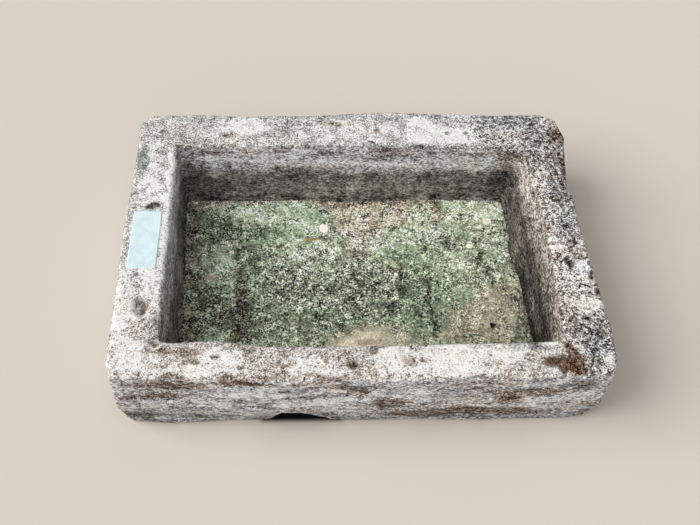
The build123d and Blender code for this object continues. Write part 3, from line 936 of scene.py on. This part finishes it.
# Laid one over another: kind, x, y, two radii and strength
siltPatches = [
    ("olive", -75, -92, 56, 34), ("olive", -130, -98, 50, 34), ("olive", 20, -100, 90, 26, 0.8),
    ("aqua", -174, 116, 46, 28), ("aqua", -84, 95, 44, 44), ("moss", -140, 74, 44, 22, 0.9),
    ("aqua", -107, 50, 44, 20, 0.8), ("green", -222, 86, 26, 30), ("deep", -217, 76, 18, 20),
    ("aqua", -218, 14, 14, 44), ("shade", -214, -50, 13, 15), ("green", -212, -66, 12, 44, 0.8),
    ("green", -160, 4, 15, 62, 0.9), ("aqua", -210, -124, 9, 10, 0.95), ("brown", -272, 95, 24, 66),
    ("brown", -270, -6, 17, 64, 0.95), ("brown", -262, -91, 18, 50, 0.9), ("plain", -284, 130, 12, 30, 0.8),
    ("olive", -244, 86, 14, 20, 0.8), ("plain", -264, -50, 12, 30, 0.8), ("shade", -243, -60, 22, 40, 0.8),
    ("shade", -238, -96, 24, 20, 0.85), ("green", -150, -52, 20, 34, 0.7), ("pepper", -122, -20, 40, 46),
    ("pepper", -59, -27, 52, 46), ("pepper", 13, -27, 38, 40), ("shade", 6, -38, 42, 28, 0.6),
    ("shade", -56, -52, 20, 16, 0.55), ("plain", 52, -84, 34, 12, 0.9), ("shade", 62, -40, 20, 42, 0.85),
    ("mint", -77, 43, 13, 12, 0.9), ("buff", -16, 116, 24, 30, 0.9), ("buff", 17, 84, 36, 48),
    ("buff", 69, 118, 30, 30), ("soil", 4, 36, 22, 16, 0.6), ("mint", 36, 53, 24, 18, 0.95),
    ("mint", 104, 70, 44, 32), ("mint", 170, 12, 22, 20), ("fern", 92, 30, 34, 40, 0.9),
    ("green", 104, -20, 22, 40, 0.6), ("moss", 90, -52, 26, 44), ("moss", 137, -48, 20, 40),
    ("moss", 103, -103, 32, 30), ("plain", 150, 30, 30, 16, 0.7), ("pale", 196, 122, 54, 30),
    ("pale", 245, 132, 16, 20, 0.95), ("plain", 232, 52, 28, 50, 0.8), ("soil", 138, 120, 11, 30),
    ("plain", 176, -70, 30, 50, 0.8), ("tan", 168, -92, 34, 34, 0.7), ("tan", 223, -76, 46, 40),
    ("tan", 194, -121, 76, 20, 0.95), ("tan", 252, -47, 18, 38, 0.95), ("plain", 190, -24, 34, 18, 0.9),
    ("tan", 225, -40, 34, 20, 0.8), ("tan", 250, -110, 24, 34, 0.9), ("dusk", 260, -104, 20, 42, 0.8),
    ("mint", 180, -40, 16, 14, 0.5), ("pale", 60, 0, 14, 20, 0.7), ("buff", 11, 76, 16, 16, 0.8),
    ("pale", -34, 46, 18, 12, 0.9), ("pale", -84, 140, 22, 12, 0.9), ("dusk", -188, 43, 6, 66, 0.8),
    ("dusk", -184, -46, 10, 60), ("dusk", -180, -90, 22, 44), ("dusk", -212, -88, 12, 20, 0.8),
    ("pepper", -50, -108, 24, 16, 0.7), ("olive", 70, -108, 24, 16, 0.9), ("soil", -5, 144, 90, 13, 0.95),
    ("soil", -100, 148, 104, 8, 0.8), ("aqua", -86, 141, 22, 12), ("soil", 112, 151, 51, 8, 0.85),
    ("buff", -156, 148, 44, 9, 0.8), ("soil", -240, 140, 40, 10, 0.7), ("brown", 258, 30, 9, 28, 0.95),
    ("black", 271, -38, 5, 50, 0.85), ("black", 198, 52, 3.5, 14, 0.7), ("black", 206, 26, 4, 14, 0.95),
    ("black", 213, 2, 4, 14, 0.95), ("black", 216, -20, 3, 10, 0.7), ("black", 70, -8, 4, 40, 0.75),
    ("black", 113, -42, 4, 36, 0.8), ("black", 116, -99, 5, 24, 0.75), ("black", -14, -109, 22, 8, 0.55),
    ("black", 152, 58, 6, 14, 0.75), ("black", 62, 6, 12, 7, 0.7), ("black", 112, 46, 5, 10, 0.6),
    ("black", 56, -70, 8, 14, 0.55), ("black", 170, -122, 24, 3, 0.55), ("sand", 12, -134, 66, 30),
    ("sand", 56, -128, 20, 18, 0.9), ("lichen", 205, 88, 4, 4, 0.9), ("lichen", 232, 84, 4, 4, 0.9),
    ("lichen", 228, 66, 4, 3, 0.75), ("lichen", 48, 17, 4, 4, 0.85), ("lichen", 150, -62, 3, 3, 0.9),
    ("lichen", 190, -52, 4, 4, 0.8), ("lichen", 163, 66, 3, 3, 0.9), ("lichen", -96, 64, 3, 3, 0.8),
]
siltLight = 0.80


def paintSilt(piece):
    points = readPoints(piece.data) / mm
    drift = wander(points, 22.0, 8.0, 5) + wander(points, 6.0, 3.0, 6)
    x, y = (points + drift).T[:2]
    state = np.tile(np.array(siltKinds["plain"]), (len(points), 1))
    for kind, *patch in siltPatches:
        amount = patchMask(x, y, [tuple(patch)])[:, None]
        state = state * (1 - amount) + np.array(siltKinds[kind]) * amount
    for name, values in zip(("level", "green", "brown", "tan", "pepper"), state.T):
        storeMask(piece.data, name, values)


siltTints = {
    "skin": ((1.03, 1.055, 0.88), (1.0, 1.045, 0.935)),
    "green": ((0.98, 1.135, 0.87), (0.985, 1.065, 0.945)),
    "tan": ((1.09, 1.035, 0.86), (1.05, 1.03, 0.92)),
    "brown": ((1.12, 1.01, 0.86), (1.06, 1.015, 0.92)),
}


def siltMaterial():
    look = Shader("algaeSilt")
    here, on = look.here, look.mask
    away = look.shift(here, (40, 70, 10))
    speck = look.grains(here, 1.5)
    dust = look.swell(here, 2.4, 2.0, 0.6)
    fine = look.swell(away, 5.0, 3.0, 0.66)
    clump = look.swell(away, 12.0, 3.0, 0.62)
    broad = look.swell(here, 32.0)
    rough = look.step(look.noise(look.shift(here, (-30, 15, 60)), 20.0), 0.36, 0.62)
    swing = (on("pepper") * 1.12 + 0.30) * (rough * 0.85 + 0.55)
    mottle = speck * 0.70 + dust * 0.95 + fine * 1.10 + clump
    value = (on("level") - 0.018) + (mottle * swing + (broad * 0.34 + clump * 0.18))

    # Pale flecks and black specks where the skin has lifted
    quiet = 1.0 - on("tan") * 0.75
    fleck = look.step(look.noise(look.shift(here, (-90, 20, 5)), 3.0, 1.0), 0.65, 0.71)
    pit = look.step(look.noise(look.shift(here, (15, -60, 8)), 3.4, 1.0), 0.66, 0.72)
    value = value + fleck * swing * quiet * 0.36 - pit * swing * quiet * 0.26

    edge = clump + fine * 0.9
    cast = look.swell(look.shift(here, (5, 90, -40)), 14.0, 4.0, 0.68)
    colour = look.tones(value, *siltTints["skin"], siltLight)
    for name, amount, low, high in (
        ("green", edge - cast, 0.10, 1.0),
        ("tan", edge + cast * 0.6, 0.15, 0.85),
        ("brown", edge + cast, 0.18, 0.85),
    ):
        amount = look.step(on(name) + amount, low, high)
        colour = look.mix(amount, colour, look.tones(value, *siltTints[name], siltLight))
    look.bump(fine + dust * 0.5 + speck * 0.3 + clump * 0.6 + fleck * 0.3, 0.9, 0.9)
    return look.finish(colour, 0.88, 0.2)


silt = shapeSilt()
paintSilt(silt)
dress(silt, siltMaterial())
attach(silt, "root")
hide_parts("silt_bed")
print("silt finished", len(silt.data.polygons))


# Bare paper tape on the left rim

labelSet = {"across": 24, "along": 58, "thickness": 0.3, "turn": -0.5, "curl": 0.5, "wrinkle": 0.22}


def shapeLabel():
    low, high = nodeBox["stock_label"]
    middle = (low + high) / 2
    turn = math.radians(labelSet["turn"])
    along = high.y - low.y
    across = high.x - low.x
    width = across - along * abs(math.sin(turn))
    length = along - width * abs(math.sin(turn))
    u, v = np.meshgrid(np.linspace(-0.5, 0.5, labelSet["across"]), np.linspace(-0.5, 0.5, labelSet["along"]))
    x = middle.x + u * width * math.cos(turn) - v * length * math.sin(turn)
    y = middle.y + u * width * math.sin(turn) + v * length * math.cos(turn)
    ground = np.array([stoneTop(a, b, rimLevel) for a, b in zip(x.ravel(), y.ravel())]).reshape(x.shape)
    for _ in range(6):   # paper bridges the small pits
        padded = np.pad(ground, 1, mode="edge")
        near = padded[:-2, 1:-1] + padded[2:, 1:-1] + padded[1:-1, :-2] + padded[1:-1, 2:]
        ground = np.maximum(ground, near / 4 * 0.7 + ground * 0.3)
    wrinkle = ripple(grid(x, y), 18.0, 2, 8).reshape(x.shape) * labelSet["wrinkle"]
    corner = np.clip(np.abs(u) + np.abs(v) - 0.82, 0, 1) * labelSet["curl"] * 4
    z = np.minimum(ground + 0.40 + wrinkle + corner, high.z - 0.02)
    top = grid(x, y, z)
    under = top - (0, 0, labelSet["thickness"])
    return closeSheet("paperTape", top, under, gridFaces(labelSet["across"], labelSet["along"]))


def labelMaterial():
    look = Shader("paperTape")
    fibre = look.noise(look.scale(look.here, (1.0, 0.35, 1.0)), 1.8, 3.0, 0.6)
    stain = look.noise(look.here, 17)
    value = ((fibre - 0.5) * 0.10 + (stain - 0.5) * 0.16) + 0.93
    colour = look.tones(value, (0.88, 1.0, 1.08), (0.905, 1.0, 1.05), 1.0)
    look.bump(fibre * 0.5 + stain * 0.5, 0.35, 0.6)
    return look.finish(colour, 0.62, 0.3)


label = shapeLabel()
dress(label, labelMaterial())
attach(label, "root")
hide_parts("stock_label")
print("label finished")


# Sand drift against the front wall

driftSet = {
    "sectors": 120,
    "rings": 30,
    "profile": [(0.0, 4.1), (0.30, 3.8), (0.72, 2.3), (0.92, 0.8), (1.0, 0.15)],   # height by share of reach
    "relief": 0.45,
    "ragged": 3.4,
}


def shapeDrift():
    low, high = nodeBox["sand_drift"]
    middle = (low + high) / 2
    tree = castTree(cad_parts["sand_drift"].data)
    angles = np.linspace(0, 2 * math.pi, driftSet["sectors"], endpoint=False)
    shares = np.linspace(0, 1, driftSet["rings"] + 1)[1:]
    spots = [(middle.x, middle.y, 0.0)]
    reaches = []
    start = Vector((middle.x, middle.y, low.z + 0.15)) * mm
    for angle in angles:
        hit = tree.ray_cast(start, Vector((math.cos(angle), math.sin(angle), 0)))
        reaches.append(hit[3] / mm)
    reaches = np.array(reaches)
    for _ in range(2):
        reaches = (np.roll(reaches, 1) + reaches * 2 + np.roll(reaches, -1)) / 4
    for share in shares:
        for angle, reach in zip(angles, reaches):
            away = share * reach
            spots.append((middle.x + away * math.cos(angle), middle.y + away * math.sin(angle), share))
    spots = np.array(spots)
    share = spots[:, 2]
    flat = spots * (1, 1, 0)
    rise = np.interp(share, *zip(*driftSet["profile"]))
    rise += driftSet["relief"] * ripple(flat, 15.0, 3, 9) * ramp01(1 - share, 0.0, 0.3)
    top = np.column_stack([spots[:, :2], siltLevel + np.clip(rise, 0.1, high.z - siltLevel)])
    inward = np.array([middle.x, middle.y]) - top[:, :2]
    inward /= np.maximum(np.hypot(*inward.T), 1.0)[:, None]
    bite = (0.5 + 0.5 * ripple(flat, 8.0, 3, 10)) * driftSet["ragged"] * share ** 3
    top[:, :2] += inward * bite[:, None]
    top[:, 1] = np.maximum(top[:, 1], low.y)
    under = top.copy()
    under[:, 2] = siltLevel - 0.4
    piece = closeSheet("sandDrift", top, under, roundFaces(driftSet["sectors"], driftSet["rings"]))
    points = readPoints(piece.data) / mm
    near = [np.argmin(np.hypot(*(top[:, :2] - point[:2]).T)) for point in points]
    storeMask(piece.data, "rim", share[near])
    return piece


def sandMaterial():
    look = Shader("drySand")
    grain = look.grains(look.here, 1.5)
    fine = look.swell(look.here, 2.6, 2.0, 0.6)
    clump = look.swell(look.here, 13, 3.0)
    thin = look.step(look.mask("rim") + (fine * 0.9 + clump * 0.9), 0.62, 0.98)
    value = (grain * 0.20 + fine * 0.55 + clump * 0.60) + 0.66 - thin * 0.08
    colour = look.tones(value, (1.12, 1.02, 0.86), (1.085, 1.02, 0.90), siltLight)
    colour = look.mix(thin * 0.9, colour, look.tones(value, (1.02, 1.07, 0.89), (1.02, 1.05, 0.93), siltLight))
    look.bump(grain * 0.6 + fine, 0.7, 0.8)
    return look.finish(colour, 0.93, 0.2)


drift = shapeDrift()
dress(drift, sandMaterial())
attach(drift, "root")
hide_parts("sand_drift")
print("drift finished")


# Lime flakes and leaf fragments, each following its solid in the CAD

flakeSet = {
    "sides": 60, "rings": 8, "ragged": 0.26, "dome": 0.25,
    "palenessAndShade": [0.56, 0.64, 0.84, 0.92, 0.90, 0.86, 0.84, 0.78, 0.80],   # from left to right; the lower ones at the left are partly painted shade
}
leafSet = {"across": 12, "along": 22, "curl": 1.5, "thickness": 0.35, "browning": [1.0, 0.0]}
leafColours = [   # between the veins to on them, on a dry leaf and on a red one
    [(0.16, 0.09, 0.03), (0.36, 0.24, 0.09), (0.56, 0.42, 0.20)],
    [(0.06, 0.025, 0.012), (0.16, 0.075, 0.035), (0.34, 0.20, 0.12)],
]


def shapeFlakes():
    tops, unders, faces, levels = [], [], [], []
    sides, rings = flakeSet["sides"], flakeSet["rings"]
    for number, (middle, half) in enumerate(findIslands("lime_flakes")):
        angles = np.linspace(0, 2 * math.pi, sides, endpoint=False)
        circle = np.column_stack([np.cos(angles), np.sin(angles), np.zeros(sides)])
        ragged = 1 - flakeSet["ragged"] * np.clip(0.5 + 0.7 * ripple(circle + number * 3.1, 0.55, 4, 11), 0, 1)
        base = len(tops)
        height = 2 * half[2]
        tops.append((middle[0], middle[1], siltLevel + height))
        unders.append((middle[0], middle[1], siltLevel - 0.3))
        for ring in range(1, rings + 1):
            share = ring / rings
            for k in range(sides):
                reach = half[:2] * share * ragged[k]
                x, y = middle[:2] + circle[k, :2] * reach
                drop = flakeSet["dome"] * height * share ** 2 + (0.45 * height if ring == rings else 0)
                tops.append((x, y, siltLevel + height - drop))
                unders.append((x, y, siltLevel - 0.3))
        faces += roundFaces(sides, rings, base)
        levels += [flakeSet["palenessAndShade"][number]] * (1 + sides * rings)
    piece = closeSheet("limeFlakes", np.array(tops), np.array(unders), faces)
    storeMask(piece.data, "level", np.array(levels * 2))
    return piece


def flakeMaterial():
    look = Shader("limeFlake")
    fine = look.swell(look.here, 2.6, 3.0, 0.6)
    clump = look.swell(look.here, 9.0)
    value = (fine * 0.75 + clump * 0.50 + look.grains(look.here, 1.9) * 0.22) + look.mask("level")
    colour = look.tones(value, (1.08, 1.01, 0.87), (1.035, 1.01, 0.925), siltLight)
    look.bump(fine, 0.8, 0.9)
    return look.finish(colour, 0.9, 0.2)


flakes = shapeFlakes()
dress(flakes, flakeMaterial())
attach(flakes, "root")
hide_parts("lime_flakes")


def shapeLeaves():
    tops, unders, faces, shades = [], [], [], []
    across, along = leafSet["across"], leafSet["along"]
    for number, (middle, half) in enumerate(findIslands("leaf_fragments")):
        u, v = np.meshgrid(np.linspace(-1, 1, along), np.linspace(-1, 1, across))
        width = np.sqrt(np.clip(1 - np.abs(u) ** 2.4, 0, 1)) * (1 - 0.35 * u)
        torn = grid(u * 2.2, np.sign(v), number * 7.0)
        width *= 1 - 0.42 * np.clip(0.5 + ripple(torn, 0.9, 3, 14), 0, 1).reshape(u.shape)
        x = middle[0] + u * half[0]
        y = middle[1] + v * width * half[1] * 0.80 + 0.2 * half[1] * np.sin(u * 1.6)
        lift = leafSet["curl"] * np.abs(v) ** 2 * width + 0.5 * u ** 2
        z = siltLevel + 0.45 + lift * 0.7 + ripple(grid(x, y, number * 9.0), 4.0, 2, 12).reshape(x.shape) * 0.25
        top = grid(x, y, z)
        base = sum(len(t) for t in tops)
        tops.append(top)
        unders.append(top - (0, 0, leafSet["thickness"]))
        faces.append(gridFaces(along, across) + base)
        shades += [leafSet["browning"][number]] * len(top)
    piece = closeSheet("leafBits", np.concatenate(tops), np.concatenate(unders), np.concatenate(faces))
    storeMask(piece.data, "browning", np.array(shades * 2))
    return piece


def leafMaterial():
    look = Shader("deadLeaf")
    vein = look.noise(look.scale(look.here, (0.5, 1.0, 1.0)), 1.8, 3.0, 0.6)
    dry, red = (look.ramp(vein, list(zip((0.30, 0.50, 0.70), colours))) for colours in leafColours)
    look.bump(vein, 0.5, 0.8)
    return look.finish(look.mix(look.mask("browning"), dry, red), 0.7, 0.3)


leaves = shapeLeaves()
dress(leaves, leafMaterial())
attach(leaves, "root")
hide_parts("leaf_fragments")
print("flakes and leaves finished")


# Loose grit: the CAD's grains made ragged, and smaller ones scattered over the silt

gritSet = {
    "seed": 11,
    "edge": 12.0,     # kept this far from the walls
    "scatter": {"Grains per square metre": 9000.0, "Smallest": 0.45, "Largest": 1.35},
}


def scatterTree():
    kit, given, result = startShape("gritScatter", gritSet["scatter"])
    seed = gritSet["seed"]
    spread = kit.node("GeometryNodeDistributePointsOnFaces", {
        "Mesh": given["Geometry"], "Density": given["Grains per square metre"], "Seed": seed,
    })
    pebble = kit.wire("GeometryNodeMeshIcoSphere", {"Radius": mm, "Subdivisions": 1})
    small, large = (
        kit.wire("ShaderNodeCombineXYZ", dict.fromkeys(range(3), given[name])) for name in ("Smallest", "Largest")
    )
    size = kit.wire("FunctionNodeRandomValue", {0: small, 1: large, "Seed": seed + 1}, data_type="FLOAT_VECTOR")
    turn = kit.wire("FunctionNodeRandomValue", {1: (6.3, 6.3, 6.3), "Seed": seed + 2}, data_type="FLOAT_VECTOR")
    place = kit.wire("GeometryNodeInstanceOnPoints", {
        "Points": spread.outputs["Points"], "Instance": pebble, "Rotation": turn, "Scale": size,
    })
    shade = kit.node("FunctionNodeRandomValue", {"Seed": seed + 3}, data_type="FLOAT").outputs[1]
    stored = {"Geometry": place, "Name": "shade", "Value": shade}
    stored = kit.wire("GeometryNodeStoreNamedAttribute", stored, data_type="FLOAT", domain="INSTANCE")
    real = kit.wire("GeometryNodeRealizeInstances", {0: stored})
    kit.put(kit.wire("GeometryNodeSetMaterial", {"Geometry": real, "Material": gritStuff}), result.inputs[0])
    return kit.tree


def gritMaterial():
    look = Shader("looseGrit")
    fine = look.swell(look.here, 1.6)
    value = look.mask("shade") * 0.62 + (fine * 0.5 + 0.20)
    colour = look.tones(value, (1.06, 1.0, 0.88), (1.03, 1.0, 0.93), siltLight)
    look.bump(fine, 0.5, 0.8)
    return look.finish(colour, 0.88, 0.25)


def scatterGrit():
    low, high = nodeBox["loose_grit"]
    faces = np.array([p.vertices[:] for p in silt.data.polygons if len(p.vertices) == 4 and p.normal.z > 0.3])
    points = readPoints(silt.data)
    inside = (
        (points[:, 0] > low.x * mm) & (points[:, 0] < high.x * mm)
        & (points[:, 1] > low.y * mm) & (points[:, 1] < high.y * mm)
    )
    faces = faces[inside[faces].all(axis=1)]
    used, remapped = np.unique(faces, return_inverse=True)
    mesh = bpy.data.meshes.new("gritBed")
    mesh.from_pydata(points[used].tolist(), [], remapped.reshape(faces.shape).tolist())
    piece = addObject("looseGrit", mesh)
    setInputs(piece, scatterTree(), gritSet["scatter"])
    bakeModifiers(piece)
    return piece


def shapeGrains():   # the larger grains, each where the CAD has one
    work = bmesh.new()
    shades = []
    for number, (middle, half) in enumerate(findIslands("loose_grit")):
        made = bmesh.ops.create_icosphere(work, subdivisions=2, radius=1.0)["verts"]
        for vert in made:
            swell = 1 + 0.30 * noise.noise(vert.co * 1.3 + Vector((number * 5.1, 0, 0)))
            spot = vert.co * swell
            x, y = middle[0] + spot.x * half[0], middle[1] + spot.y * half[1]
            z = middle[2] + spot.z * half[2] * 1.15
            vert.co = Vector((x, y, max(z, siltLevel - 0.5))) * mm
        shades += [(number * 0.37) % 1.0] * len(made)
    mesh = bpy.data.meshes.new("grains")
    work.to_mesh(mesh)
    work.free()
    storeMask(mesh, "shade", np.array(shades))
    mesh.materials.append(gritStuff)
    return addObject("grains", mesh)


gritStuff = gritMaterial()
grit = scatterGrit()
grains = shapeGrains()
with bpy.context.temp_override(active_object=grit, object=grit, selected_editable_objects=[grit, grains]):
    bpy.ops.object.join()
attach(grit, "root")
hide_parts("loose_grit")
print("grit finished", len(grit.data.polygons))
